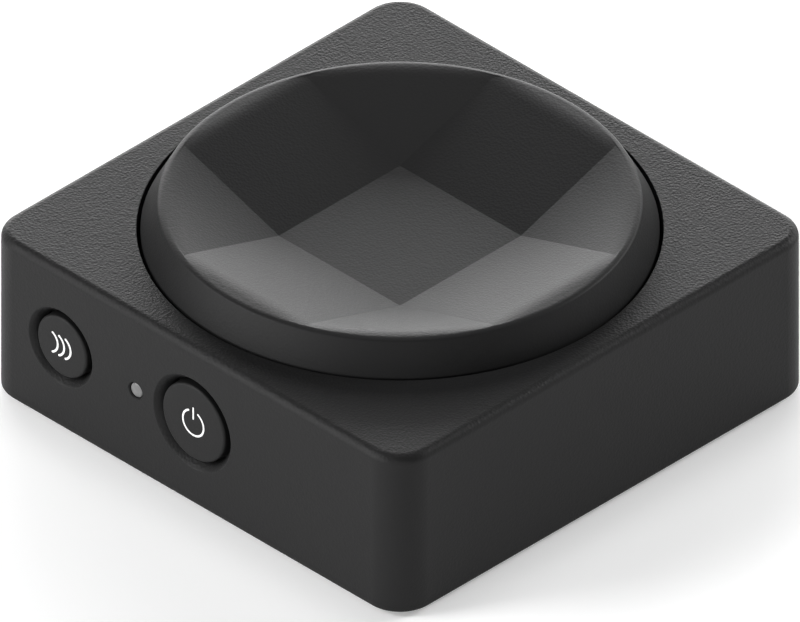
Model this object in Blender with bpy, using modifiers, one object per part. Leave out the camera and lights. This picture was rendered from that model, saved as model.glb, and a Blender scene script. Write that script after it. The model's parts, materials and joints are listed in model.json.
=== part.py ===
"""A wireless eight-way dish button: a rounded square housing with a faceted dish on a gimbal.

The frame is in metres, +Z up. The origin is under the middle of the foot pad, on the surface
that the object stands on. The power and pairing buttons face -Y, and the charging port +Y.
Run it with: blender --background --python part.py
"""

import math

import bmesh
import bpy
from mathutils import Matrix, Vector

MM = 0.001

# Overall size
SIDE = 60.0 * MM
BODY_HEIGHT = 19.4 * MM
PAD_PROUD = 0.5 * MM
WALL = 1.8 * MM
TOP_WALL = 1.6 * MM
CORNER_RADIUS = 4.1 * MM
TOP_EDGE_RADIUS = 1.0 * MM
BOTTOM_EDGE_RADIUS = 0.4 * MM

# Clearances
GAP = 0.3 * MM  # between two pieces that touch
FIT = 0.1 * MM  # round a pin in its bore
PASS = 0.4 * MM  # between a piece and one that stands beside it
OVERSHOOT = 1.0 * MM  # how far a cutter runs past the face it cuts

# Dish
DISH_MARGIN = 3.5 * MM  # from the dish's wall to the side of the housing
DISH_SLIT = 0.45 * MM  # between the dish's wall and the housing's opening
DISH_HEIGHT = 3.5 * MM  # of the rim's crest over the top face
DISH_LEAN = 1.7 * MM  # how far the outer wall leans in, from the top face to the lip
RIM_WIDTH = 1.5 * MM  # of the lip and the rim, from the wall's top to the facets
RIM_DROP = 0.1 * MM  # of the facets' outer edge below the crest
LIP_ROUND = 0.75 * MM  # of the lip's rounding, across
LIP_DROP = 0.35 * MM  # of the lip's rounding, down
FLOOR_HALF = 8.74 * MM  # half the side of the flat square in the middle
FLOOR_DROP = 0.96 * MM  # of that square below the top face
DISH_WALL = 1.6 * MM
SKIRT_DROP = 2.4 * MM  # of the dish's wall below the top face
FACET_STEPS = 8  # round each arm, and round each corner

# Gimbal and rocker
PIVOT_DEPTH = 5.6 * MM  # below the top face
RING_INNER = 4.0 * MM
RING_OUTER = 6.0 * MM
RING_HEIGHT = 1.6 * MM
PIN_RADIUS = 0.6 * MM
RING_TO_EAR = 0.8 * MM
EAR_THICKNESS = 1.6 * MM
EAR_HALF_WIDTH = 2.0 * MM
EAR_OVER_PIN = 1.05 * MM
EAR_TO_BOARD = 1.1 * MM
ROCKER_THICKNESS = 1.14 * MM
ROCKER_MARGIN = 1.2 * MM  # of the rocker plate outside its pegs
PEG_OFFSET = 10.6 * MM
PEG_RADIUS = 1.0 * MM
PEG_HEIGHT = 1.3 * MM
SOCKET_WALL = 0.8 * MM
DOME_CIRCLE = 13.0 * MM
DOME_RADIUS = 2.6 * MM
DOME_HEIGHT = 1.1 * MM
DOME_CROWN = 1.5 * MM
DOME_SINK = 0.1 * MM  # of a dome's foot into the mat, so that the two are one
DOME_TO_ROCKER = 0.45 * MM  # room for a plunger's tip
PLUNGER_RADIUS = 1.4 * MM
MAT_THICKNESS = 0.4 * MM
MAT_MARGIN = 0.9 * MM
SWITCH_BOARD_THICKNESS = 0.8 * MM
FRAME_THICKNESS = 1.2 * MM
FRAME_MARGIN = 1.0 * MM

# Underside
COVER_THICKNESS = 1.8 * MM
PAD_THICKNESS = 0.9 * MM
PAD_INSET = 4.5 * MM  # from the pad's edge to the side of the housing
PAD_CORNER_CUT = 8.0 * MM
PAD_CORNER_RADIUS = 1.5 * MM

# Bosses, posts and screws
BOSS_INSET = 6.0 * MM  # from a boss's axis to the sides of the housing
BOSS_RADIUS = 2.4 * MM
RIB_THICKNESS = 1.0 * MM
POST_INSET = 13.5 * MM
POST_RADIUS = 2.2 * MM
POST_FOOT_RADIUS = 3.0 * MM
HOUSING_SCREW = {"shank": 0.9 * MM, "head": 2.0 * MM, "head_height": 0.8 * MM, "length": 7.5 * MM}
FRAME_SCREW = {"shank": 0.8 * MM, "head": 1.8 * MM, "head_height": 0.9 * MM, "length": 6.0 * MM}
SCREW_SOCKET = 0.9 * MM

# Front face
BUTTON_DROP = 9.46 * MM  # of the buttons' axes below the top face
BUTTON_RECESS = 0.15 * MM
BUTTON_EDGE_RADIUS = 0.3 * MM
BUTTON_CLEARANCE = 0.22 * MM
BUTTON_TRAVEL = 0.4 * MM
MOAT_DEPTH = 0.9 * MM
FLANGE_THICKNESS = 0.8 * MM
STEM_RADIUS = 1.4 * MM
STEM_LENGTH = 1.5 * MM
BUTTONS = {
    "power": {"x": 0.0, "radius": 4.5 * MM, "moat": 5.5 * MM, "flange": 5.5 * MM},
    "pairing": {"x": -19.0 * MM, "radius": 3.57 * MM, "moat": 4.5 * MM, "flange": 4.2 * MM},
}
LIGHT_X = -8.2 * MM
LIGHT_RADIUS = 0.81 * MM
LIGHT_FLANGE_RADIUS = 1.4 * MM
LIGHT_FLANGE_THICKNESS = 0.6 * MM
LIGHT_LENGTH = 4.0 * MM

# Electronics
BOARD_DROP = 2.04 * MM  # of the main board's top below the buttons' axes
BOARD_THICKNESS = 1.0 * MM
BOARD_INSET = 4.1 * MM
SWITCH_WIDTH = 4.6 * MM
SWITCH_DEPTH = 3.0 * MM
SWITCH_RADIUS = 1.0 * MM
SWITCH_PLUNGER_LENGTH = 2.2 * MM
SWITCH_PLUNGER_SHOWS = 1.0 * MM
BATTERY_SIZE = (26.0 * MM, 36.0 * MM, 4.0 * MM)
BATTERY_EDGE_RADIUS = 1.2 * MM
PORT_WIDTH = 8.94 * MM
PORT_HEIGHT = 3.26 * MM
PORT_DEPTH = 7.35 * MM
PORT_SHELL = 0.3 * MM
PORT_RECESS = 0.8 * MM
TONGUE_SIZE = (6.69 * MM, 4.9 * MM, 0.7 * MM)
RADIO_PLACE = (-6.5 * MM, 4.0 * MM)
RADIO_WIDTH = 13.0 * MM
RADIO_DEPTH = 11.0 * MM
CHIP_PLACE = (7.5 * MM, 4.0 * MM)
CHIP_SIZE = (7.0 * MM, 7.0 * MM, 0.9 * MM)
HEADER_SIZE = (7.0 * MM, 2.4 * MM)
CONNECTOR_SIZE = (4.0 * MM, 5.0 * MM, 2.0 * MM)
LEAD_SPAN = 4.5 * MM  # from the battery's side to the connector
LED_SIZE = (1.6 * MM, 1.2 * MM)
LEAD_RADIUS = 0.8 * MM

# How finely round shapes are cut
ROUND_STEPS = 48
BORE_STEPS = 20
SMALL_STEPS = 14
CORNER_STEPS = 6

# Worked out from the above
HALF = SIDE / 2
BASE_Z = PAD_PROUD
TOP_Z = BASE_Z + BODY_HEIGHT
CAVITY_HALF = HALF - WALL
CAVITY_RADIUS = CORNER_RADIUS - WALL
CEILING_Z = TOP_Z - TOP_WALL
COVER_TOP_Z = BASE_Z + COVER_THICKNESS
PAD_SEAT_Z = PAD_THICKNESS + GAP
HOUSING_HEAD_Z = BASE_Z + GAP + HOUSING_SCREW["head_height"]  # where a head bears on the cover
BOSS_OFFSET = HALF - BOSS_INSET
POST_OFFSET = HALF - POST_INSET
DISH_RADIUS = HALF - DISH_MARGIN
OPENING_RADIUS = DISH_RADIUS + DISH_SLIT
LIP_RADIUS = DISH_RADIUS - DISH_LEAN
FACET_RADIUS = LIP_RADIUS - RIM_WIDTH
DISH_UNDER_Z = TOP_Z - FLOOR_DROP - DISH_WALL
PIVOT_Z = TOP_Z - PIVOT_DEPTH
ROCKER_TOP_Z = DISH_UNDER_Z - GAP
ROCKER_UNDER_Z = ROCKER_TOP_Z - ROCKER_THICKNESS
ROCKER_RADIUS = PEG_OFFSET * math.sqrt(2) + PEG_RADIUS + ROCKER_MARGIN
EAR_INNER = RING_OUTER + RING_TO_EAR
EAR_OUTER = EAR_INNER + EAR_THICKNESS
BOARD_HOLE_RADIUS = EAR_OUTER + EAR_TO_BOARD
DOME_TOP_Z = ROCKER_UNDER_Z - DOME_TO_ROCKER
MAT_UNDER_Z = DOME_TOP_Z - DOME_HEIGHT - MAT_THICKNESS
SWITCH_BOARD_RADIUS = DOME_CIRCLE + DOME_RADIUS + MAT_MARGIN
SWITCH_BOARD_TOP_Z = MAT_UNDER_Z - GAP
SWITCH_BOARD_UNDER_Z = SWITCH_BOARD_TOP_Z - SWITCH_BOARD_THICKNESS
FRAME_TOP_Z = SWITCH_BOARD_UNDER_Z - GAP
FRAME_UNDER_Z = FRAME_TOP_Z - FRAME_THICKNESS
BUTTON_Z = TOP_Z - BUTTON_DROP
BOARD_TOP_Z = BUTTON_Z - BOARD_DROP
BOARD_UNDER_Z = BOARD_TOP_Z - BOARD_THICKNESS
PART_UNDER_Z = BOARD_TOP_Z + GAP  # where the pieces on the main board start
FLANGE_DEPTH = WALL + GAP  # of a flange's front behind the front face
STEM_DEPTH = FLANGE_DEPTH + FLANGE_THICKNESS + STEM_LENGTH
SWITCH_FRONT_DEPTH = STEM_DEPTH + GAP + SWITCH_PLUNGER_SHOWS
PORT_Z = PART_UNDER_Z + PORT_HEIGHT / 2
RADIO_SIZE = (RADIO_WIDTH, RADIO_DEPTH, FRAME_UNDER_Z - 2 * GAP - PART_UNDER_Z)
CORNERS = [(x, y) for y in (-1, 1) for x in (-1, 1)]


def clear_scene():
    for obj in list(bpy.data.objects):
        bpy.data.objects.remove(obj)


def collection(name):
    made = bpy.data.collections.new(name)
    bpy.context.scene.collection.children.link(made)
    return made


def material(name, colour, roughness, metallic=0.0):
    made = bpy.data.materials.new(name)
    made.use_nodes = True
    shader = made.node_tree.nodes["Principled BSDF"]
    shader.inputs["Base Color"].default_value = (*colour, 1.0)
    shader.inputs["Roughness"].default_value = roughness
    shader.inputs["Metallic"].default_value = metallic
    return made


def add_mesh(name, bm, place):
    """A new object in place's collection from bm, which is freed."""
    mesh = bpy.data.meshes.new(name)
    bm.to_mesh(mesh)
    bm.free()
    obj = bpy.data.objects.new(name, mesh)
    place.objects.link(obj)
    return obj


# Outlines, as lists of points


def arc(centre, radius, start, end, steps):
    """Points from one angle to another, in degrees, both ends included."""
    angles = [math.radians(start + (end - start) * i / steps) for i in range(steps + 1)]
    return [(centre[0] + radius * math.cos(a), centre[1] + radius * math.sin(a)) for a in angles]


def circle(radius, centre=(0.0, 0.0), steps=BORE_STEPS):
    return arc(centre, radius, 0, 360, steps)[:-1]


def rounded_rectangle(half_x, half_y, radius, steps=CORNER_STEPS):
    points = []
    for start, (x, y) in zip((0, 90, 180, 270), ((1, 1), (-1, 1), (-1, -1), (1, -1))):
        centre = (x * (half_x - radius), y * (half_y - radius))
        points += arc(centre, radius, start, start + 90, steps)
    return points


def stadium(width, height, steps=12):
    """A slot's outline, with half circles for ends."""
    radius = height / 2
    middle = width / 2 - radius
    right = arc((middle, 0), radius, -90, 90, steps)
    return right + [(-x, -y) for x, y in right]


def cut_square(half, cut, radius, steps=4):
    """A square whose corners are cut off at 45 degrees, with its eight corners rounded."""
    reach = radius * math.tan(math.radians(22.5))
    points = []
    for turn in range(4):
        spin = Matrix.Rotation(math.radians(90 * turn), 2)
        side = (half - radius, half - cut - reach)
        slope = arc(side, radius, 0, 45, steps)
        mirrored = [(y, x) for x, y in reversed(slope)]
        points += [tuple(spin @ Vector((x, y))) for x, y in slope + mirrored]
    return points


# Solids


def extruded(name, outlines, bottom, top, place):
    """A flat piece between two heights. The first outline is its edge and the others are holes."""
    curve = bpy.data.curves.new(name, "CURVE")
    curve.dimensions = "2D"
    curve.fill_mode = "BOTH"
    curve.extrude = (top - bottom) / 2
    for outline in outlines:
        spline = curve.splines.new("POLY")
        spline.points.add(len(outline) - 1)
        for point, (x, y) in zip(spline.points, outline):
            point.co = (x, y, 0.0, 1.0)
        spline.use_cyclic_u = True
    guide = bpy.data.objects.new(name + "_outline", curve)
    place.objects.link(guide)
    bpy.context.view_layer.update()
    graph = bpy.context.evaluated_depsgraph_get()
    mesh = bpy.data.meshes.new_from_object(guide.evaluated_get(graph))
    bpy.data.objects.remove(guide)
    bpy.data.curves.remove(curve)
    bm = bmesh.new()
    bm.from_mesh(mesh)
    bpy.data.meshes.remove(mesh)
    bmesh.ops.remove_doubles(bm, verts=bm.verts, dist=0.001 * MM)
    bmesh.ops.recalc_face_normals(bm, faces=bm.faces)
    bmesh.ops.translate(bm, verts=bm.verts, vec=(0, 0, (top + bottom) / 2))
    return add_mesh(name, bm, place)


def turned(name, profile, place, steps=BORE_STEPS, closed=False):
    """A solid turned round Z. The profile is (radius, height), down its outer side."""
    bm = bmesh.new()
    points = [bm.verts.new((radius, 0.0, height)) for radius, height in profile]
    ends = points[1:] + ([points[0]] if closed else [])
    for a, b in zip(points, ends):
        bm.edges.new((a, b))
    obj = add_mesh(name, bm, place)
    screw = obj.modifiers.new("Turn", "SCREW")
    screw.steps = steps
    screw.render_steps = steps
    screw.use_merge_vertices = True
    screw.merge_threshold = 0.001 * MM
    screw.use_smooth_shade = True
    return obj


def cylinder(name, radius, bottom, top, place, centre=(0.0, 0.0), steps=BORE_STEPS):
    bm = bmesh.new()
    matrix = Matrix.Translation((*centre, (bottom + top) / 2))
    bmesh.ops.create_cone(
        bm, cap_ends=True, segments=steps, radius1=radius, radius2=radius,
        depth=top - bottom, matrix=matrix,
    )
    return add_mesh(name, bm, place)


def box(name, size, centre, place):
    bm = bmesh.new()
    matrix = Matrix.Translation(centre) @ Matrix.Diagonal((*size, 1.0))
    bmesh.ops.create_cube(bm, size=1.0, matrix=matrix)
    return add_mesh(name, bm, place)


def facing_front(obj, x, z):
    """Turns a piece made along Z so that its +Z faces out of the front, its zero on the front face."""
    obj.rotation_euler = (math.pi / 2, 0, 0)
    obj.location = (x, -HALF, z)
    return obj


def bevel_weights(obj, heights):
    """Gives the level edges at each height a bevel weight."""
    bm = bmesh.new()
    bm.from_mesh(obj.data)
    bmesh.ops.dissolve_limit(
        bm, angle_limit=math.radians(0.1), verts=bm.verts, edges=bm.edges,
    )
    layer = bm.edges.layers.float.new("bevel_weight_edge")
    for edge in bm.edges:
        for height, weight in heights.items():
            if all(abs(vert.co.z - height) < 0.001 * MM for vert in edge.verts):
                edge[layer] = weight
    bm.to_mesh(obj.data)
    bm.free()


def bevel(obj, width, segments, limit="WEIGHT"):
    modifier = obj.modifiers.new("Bevel", "BEVEL")
    modifier.width = width
    modifier.segments = segments
    modifier.limit_method = limit
    if limit == "ANGLE":
        modifier.angle_limit = math.radians(40)


def combine(obj, others, operation, helpers):
    """Joins the others to obj, or cuts them from it, and hides them."""
    for other in others:
        modifier = obj.modifiers.new(other.name, "BOOLEAN")
        modifier.operation = operation
        modifier.solver = "EXACT"
        modifier.object = other
        other.hide_render = True
        other.display_type = "WIRE"
        if other.name not in helpers.objects:
            for owner in list(other.users_collection):
                owner.objects.unlink(other)
            helpers.objects.link(other)


def finish(obj, surface, smooth=True):
    obj.data.materials.clear()
    obj.data.materials.append(surface)
    if smooth:
        obj.data.shade_smooth()
        obj.data.set_sharp_from_angle(angle=math.radians(35))
    return obj


# The pieces


def upper_housing(parts, helpers, surface):
    outline = rounded_rectangle(HALF, HALF, CORNER_RADIUS)
    shell = extruded("upper_housing", [outline], BASE_Z, TOP_Z, parts)
    bevel_weights(shell, {TOP_Z: 1.0, BASE_Z: BOTTOM_EDGE_RADIUS / TOP_EDGE_RADIUS})
    bevel(shell, TOP_EDGE_RADIUS, 5)
    cavity_outline = rounded_rectangle(CAVITY_HALF, CAVITY_HALF, CAVITY_RADIUS)
    cavity = extruded("cavity", [cavity_outline], BASE_Z - OVERSHOOT, CEILING_Z, helpers)
    opening = cylinder(
        "dish_opening", OPENING_RADIUS, CEILING_Z - OVERSHOOT, TOP_Z + OVERSHOOT, helpers,
        steps=ROUND_STEPS,
    )
    combine(shell, [cavity, opening], "DIFFERENCE", helpers)
    for number, (x, y) in enumerate(CORNERS, 1):
        add_boss(shell, number, x, y, helpers)
    for name, button in BUTTONS.items():
        combine(shell, [button_bore(name, button, helpers)], "DIFFERENCE", helpers)
    light_bore = cylinder(
        "light_bore", LIGHT_RADIUS + FIT, -WALL - OVERSHOOT, OVERSHOOT, helpers, steps=SMALL_STEPS,
    )
    combine(shell, [facing_front(light_bore, LIGHT_X, BUTTON_Z)], "DIFFERENCE", helpers)
    slot = stadium(PORT_WIDTH + 2 * PASS, PORT_HEIGHT + 2 * PASS)
    port = extruded("port_slot", [slot], -WALL - OVERSHOOT, OVERSHOOT, helpers)
    combine(shell, [facing_back(port)], "DIFFERENCE", helpers)
    return finish(shell, surface)


def add_boss(shell, number, x, y, helpers):
    """A screw boss under the ceiling, tied to both walls by ribs."""
    place = (x * BOSS_OFFSET, y * BOSS_OFFSET)
    low = COVER_TOP_Z + GAP
    high = CEILING_Z + TOP_WALL / 2
    boss = cylinder(f"boss_{number}", BOSS_RADIUS, low, high, helpers, place)
    length = CAVITY_HALF + WALL / 2 - BOSS_OFFSET
    middle = BOSS_OFFSET + length / 2
    tall = high - low
    level = (high + low) / 2
    across = box(
        f"rib_x_{number}", (length, RIB_THICKNESS, tall), (x * middle, place[1], level), helpers,
    )
    along = box(
        f"rib_y_{number}", (RIB_THICKNESS, length, tall), (place[0], y * middle, level), helpers,
    )
    combine(shell, [boss, across, along], "UNION", helpers)
    hole_top = HOUSING_HEAD_Z + HOUSING_SCREW["length"] + GAP
    hole = cylinder(
        f"boss_hole_{number}", HOUSING_SCREW["shank"] + GAP, low - OVERSHOOT, hole_top, helpers,
        place, SMALL_STEPS,
    )
    combine(shell, [hole], "DIFFERENCE", helpers)


def button_bore(name, button, helpers):
    """The hole for a button, with the rounded moat that surrounds its face."""
    bore = button["radius"] + BUTTON_CLEARANCE
    width = button["moat"] - bore
    moat = [
        (button["moat"] - width * math.sin(a), -MOAT_DEPTH * (1 - math.cos(a)))
        for a in (math.radians(90 * i / 4) for i in range(5))
    ]
    profile = [(0, OVERSHOOT), (button["moat"], OVERSHOOT), *moat]
    profile += [(bore, -WALL - OVERSHOOT), (0, -WALL - OVERSHOOT)]
    cutter = turned(name + "_bore", profile, helpers, ROUND_STEPS // 2)
    return facing_front(cutter, button["x"], BUTTON_Z)


def facing_back(obj):
    """Turns a piece made along Z so that its +Z faces out of the back, at the port."""
    obj.rotation_euler = (math.pi / 2, 0, math.pi)
    obj.location = (0, HALF, PORT_Z)
    return obj


def bottom_cover(parts, helpers, surface):
    half = CAVITY_HALF - GAP
    outline = rounded_rectangle(half, half, CAVITY_RADIUS - GAP)
    cover = extruded("bottom_cover", [outline], BASE_Z, COVER_TOP_Z, parts)
    for number, (x, y) in enumerate(CORNERS, 1):
        place = (x * POST_OFFSET, y * POST_OFFSET)
        inside = COVER_TOP_Z - COVER_THICKNESS / 4
        foot = cylinder(
            f"post_foot_{number}", POST_FOOT_RADIUS, inside, BOARD_UNDER_Z - GAP, helpers, place,
        )
        post = cylinder(
            f"post_{number}", POST_RADIUS, inside, FRAME_UNDER_Z - GAP, helpers, place,
        )
        hole = cylinder(
            f"post_hole_{number}", FRAME_SCREW["shank"] + GAP,
            FRAME_TOP_Z - FRAME_SCREW["length"] - GAP, FRAME_TOP_Z, helpers, place, SMALL_STEPS,
        )
        combine(cover, [foot, post], "UNION", helpers)
        combine(cover, [hole], "DIFFERENCE", helpers)
        place = (x * BOSS_OFFSET, y * BOSS_OFFSET)
        sink = cylinder(
            f"screw_sink_{number}", HOUSING_SCREW["head"] + GAP, BASE_Z - OVERSHOOT,
            HOUSING_HEAD_Z + GAP, helpers, place,
        )
        through = cylinder(
            f"screw_hole_{number}", HOUSING_SCREW["shank"] + GAP, BASE_Z,
            COVER_TOP_Z + OVERSHOOT, helpers, place, SMALL_STEPS,
        )
        combine(cover, [sink, through], "DIFFERENCE", helpers)
    seat_half = HALF - PAD_INSET + GAP
    seat_outline = cut_square(seat_half, PAD_CORNER_CUT, PAD_CORNER_RADIUS)
    seat = extruded("pad_seat", [seat_outline], BASE_Z - OVERSHOOT, PAD_SEAT_Z, helpers)
    combine(cover, [seat], "DIFFERENCE", helpers)
    return finish(cover, surface)


def foot_pad(parts, surface):
    outline = cut_square(HALF - PAD_INSET, PAD_CORNER_CUT, PAD_CORNER_RADIUS)
    return finish(extruded("foot_pad", [outline], 0.0, PAD_THICKNESS, parts), surface)


def screw_mesh(size, parts, helpers, name, surface):
    """A socket screw pointing down, the underside of its head at zero."""
    profile = [(0, size["head_height"]), (size["head"] * 0.85, size["head_height"])]
    profile += [(size["head"], size["head_height"] * 0.7), (size["head"], 0)]
    profile += [(size["shank"], 0), (size["shank"], -size["length"] + size["shank"])]
    profile += [(0, -size["length"])]
    screw = turned(name, profile, parts, SMALL_STEPS)
    depth = size["head_height"] * 0.6
    socket = cylinder(
        name + "_socket", SCREW_SOCKET, size["head_height"] - depth,
        size["head_height"] + OVERSHOOT, helpers, steps=6,
    )
    socket.parent = screw
    combine(screw, [socket], "DIFFERENCE", helpers)
    return finish(screw, surface)


def screws(parts, helpers, surface):
    for number, (x, y) in enumerate(CORNERS, 1):
        screw = screw_mesh(HOUSING_SCREW, parts, helpers, f"housing_screw_{number}", surface)
        screw.rotation_euler = (math.pi, 0, 0)
        screw.location = (x * BOSS_OFFSET, y * BOSS_OFFSET, HOUSING_HEAD_Z)
        screw = screw_mesh(FRAME_SCREW, parts, helpers, f"frame_screw_{number}", surface)
        screw.location = (x * POST_OFFSET, y * POST_OFFSET, FRAME_TOP_Z + GAP)


def pivot_frame(parts, helpers, surface):
    """The plate over the electronics, with two ears that hold the gimbal's fixed pins."""
    radius = SWITCH_BOARD_RADIUS + FRAME_MARGIN
    frame = cylinder("pivot_frame", radius, FRAME_UNDER_Z, FRAME_TOP_Z, parts, steps=ROUND_STEPS)
    arm_length = 2 * math.hypot(POST_OFFSET, POST_OFFSET)
    for number, turn in enumerate((45, 135), 1):
        arm_size = (arm_length, 2 * POST_RADIUS, FRAME_THICKNESS)
        arm = box(f"frame_arm_{number}", arm_size, (0, 0, (FRAME_TOP_Z + FRAME_UNDER_Z) / 2), helpers)
        arm.rotation_euler = (0, 0, math.radians(turn))
        combine(frame, [arm], "UNION", helpers)
    for number, (x, y) in enumerate(CORNERS, 1):
        place = (x * POST_OFFSET, y * POST_OFFSET)
        pad = cylinder(
            f"frame_pad_{number}", POST_FOOT_RADIUS, FRAME_UNDER_Z, FRAME_TOP_Z, helpers, place,
        )
        hole = cylinder(
            f"frame_hole_{number}", FRAME_SCREW["shank"] + GAP, FRAME_UNDER_Z - OVERSHOOT,
            FRAME_TOP_Z + OVERSHOOT, helpers, place, SMALL_STEPS,
        )
        combine(frame, [pad], "UNION", helpers)
        combine(frame, [hole], "DIFFERENCE", helpers)
    for side, name in ((-1, "left"), (1, "right")):
        tall = PIVOT_Z + EAR_OVER_PIN - FRAME_UNDER_Z
        size = (EAR_THICKNESS, 2 * EAR_HALF_WIDTH, tall)
        middle = (side * (EAR_INNER + EAR_OUTER) / 2, 0, FRAME_UNDER_Z + tall / 2)
        combine(frame, [box(f"ear_{name}", size, middle, helpers)], "UNION", helpers)
    bore = cylinder(
        "ear_bore", PIN_RADIUS + FIT, -EAR_OUTER - OVERSHOOT, EAR_OUTER + OVERSHOOT, helpers,
        steps=SMALL_STEPS,
    )
    bore.rotation_euler = (0, math.pi / 2, 0)
    bore.location = (0, 0, PIVOT_Z)
    header_size = (HEADER_SIZE[0] + 2 * PASS, HEADER_SIZE[1] + 2 * PASS, 4 * FRAME_THICKNESS)
    window = box("header_window", header_size, (0, -DOME_CIRCLE, FRAME_TOP_Z), helpers)
    combine(frame, [bore, window], "DIFFERENCE", helpers)
    return finish(frame, surface)


def gimbal(parts, helpers, surface, steel):
    """The ring, its two fixed pins along X and the two that the rocker swings on along Y."""
    low, high = -RING_HEIGHT / 2, RING_HEIGHT / 2
    profile = [(RING_INNER, high), (RING_OUTER, high), (RING_OUTER, low), (RING_INNER, low)]
    ring = turned("gimbal_ring", profile, parts, ROUND_STEPS // 2, closed=True)
    ring.location = (0, 0, PIVOT_Z)
    for name, spin in (("x", (0, math.pi / 2, 0)), ("y", (math.pi / 2, 0, 0))):
        bore = cylinder(
            f"ring_bore_{name}", PIN_RADIUS + FIT, -RING_OUTER - OVERSHOOT,
            RING_OUTER + OVERSHOOT, helpers, steps=SMALL_STEPS,
        )
        bore.parent = ring
        bore.rotation_euler = spin
        combine(ring, [bore], "DIFFERENCE", helpers)
    finish(ring, surface)
    pins = {
        "frame_pin_left": (0, -math.pi / 2, 0),
        "frame_pin_right": (0, math.pi / 2, 0),
        "rocker_pin_front": (math.pi / 2, 0, 0),
        "rocker_pin_back": (-math.pi / 2, 0, 0),
    }
    for name, spin in pins.items():
        pin = cylinder(name, PIN_RADIUS, RING_INNER, EAR_OUTER, parts, steps=SMALL_STEPS)
        pin.rotation_euler = spin
        pin.location = (0, 0, PIVOT_Z)
        finish(pin, steel)
    return ring


def rocker_plate(parts, helpers, surface):
    plate = cylinder(
        "rocker_plate", ROCKER_RADIUS, ROCKER_UNDER_Z, ROCKER_TOP_Z, parts, steps=ROUND_STEPS,
    )
    inside = ROCKER_UNDER_Z + ROCKER_THICKNESS / 2
    for number, (x, y) in enumerate(CORNERS, 1):
        place = (x * PEG_OFFSET, y * PEG_OFFSET)
        peg = cylinder(
            f"peg_{number}", PEG_RADIUS, inside, ROCKER_TOP_Z + PEG_HEIGHT, helpers, place, SMALL_STEPS,
        )
        combine(plate, [peg], "UNION", helpers)
    for number in range(4):
        turn = math.radians(90 * number)
        place = (DOME_CIRCLE * math.cos(turn), DOME_CIRCLE * math.sin(turn))
        plunger = cylinder(
            f"plunger_{number + 1}", PLUNGER_RADIUS, DOME_TOP_Z + GAP, inside, helpers, place,
            SMALL_STEPS,
        )
        combine(plate, [plunger], "UNION", helpers)
    for side, name in ((-1, "front"), (1, "back")):
        low = PIVOT_Z - EAR_OVER_PIN
        size = (2 * EAR_HALF_WIDTH, EAR_THICKNESS, inside - low)
        middle = (0, side * (EAR_INNER + EAR_OUTER) / 2, (inside + low) / 2)
        combine(plate, [box(f"lug_{name}", size, middle, helpers)], "UNION", helpers)
    bore = cylinder(
        "lug_bore", PIN_RADIUS + FIT, -EAR_OUTER - OVERSHOOT, EAR_OUTER + OVERSHOOT, helpers,
        steps=SMALL_STEPS,
    )
    bore.rotation_euler = (math.pi / 2, 0, 0)
    bore.location = (0, 0, PIVOT_Z)
    combine(plate, [bore], "DIFFERENCE", helpers)
    return finish(plate, surface)


def facet_angles():
    """Angles round the dish, so that some fall on the lines between its arms and its corners."""
    edge = math.asin(FLOOR_HALF / FACET_RADIUS)
    angles = []
    for quarter in range(4):
        middle = quarter * math.pi / 2
        for i in range(FACET_STEPS):
            angles.append(middle - edge + 2 * edge * i / FACET_STEPS)
        for i in range(FACET_STEPS):
            angles.append(middle + edge + (math.pi / 2 - 2 * edge) * i / FACET_STEPS)
    return angles


def clamp(value, most):
    return max(-most, min(most, value))


def ring_of(bm, angles, radius, height):
    return [bm.verts.new((radius * math.cos(a), radius * math.sin(a), height)) for a in angles]


def square_of(bm, angles, radius, half, height):
    """For each point of a circle, the square's nearest point: its corners are shared by many."""
    found = {}
    points = []
    for a in angles:
        x = clamp(radius * math.cos(a), half)
        y = clamp(radius * math.sin(a), half)
        key = (round(x / MM, 5), round(y / MM, 5))
        if key not in found:
            found[key] = bm.verts.new((x, y, height))
        points.append(found[key])
    return points, list(found.values())


def bridge(bm, first, second):
    """Joins two rings whose points run alike, with triangles where two points are one."""
    count = len(first)
    for i in range(count):
        corners = (first[i], first[(i + 1) % count], second[(i + 1) % count], second[i])
        bm.faces.new(list(dict.fromkeys(corners)))


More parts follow.
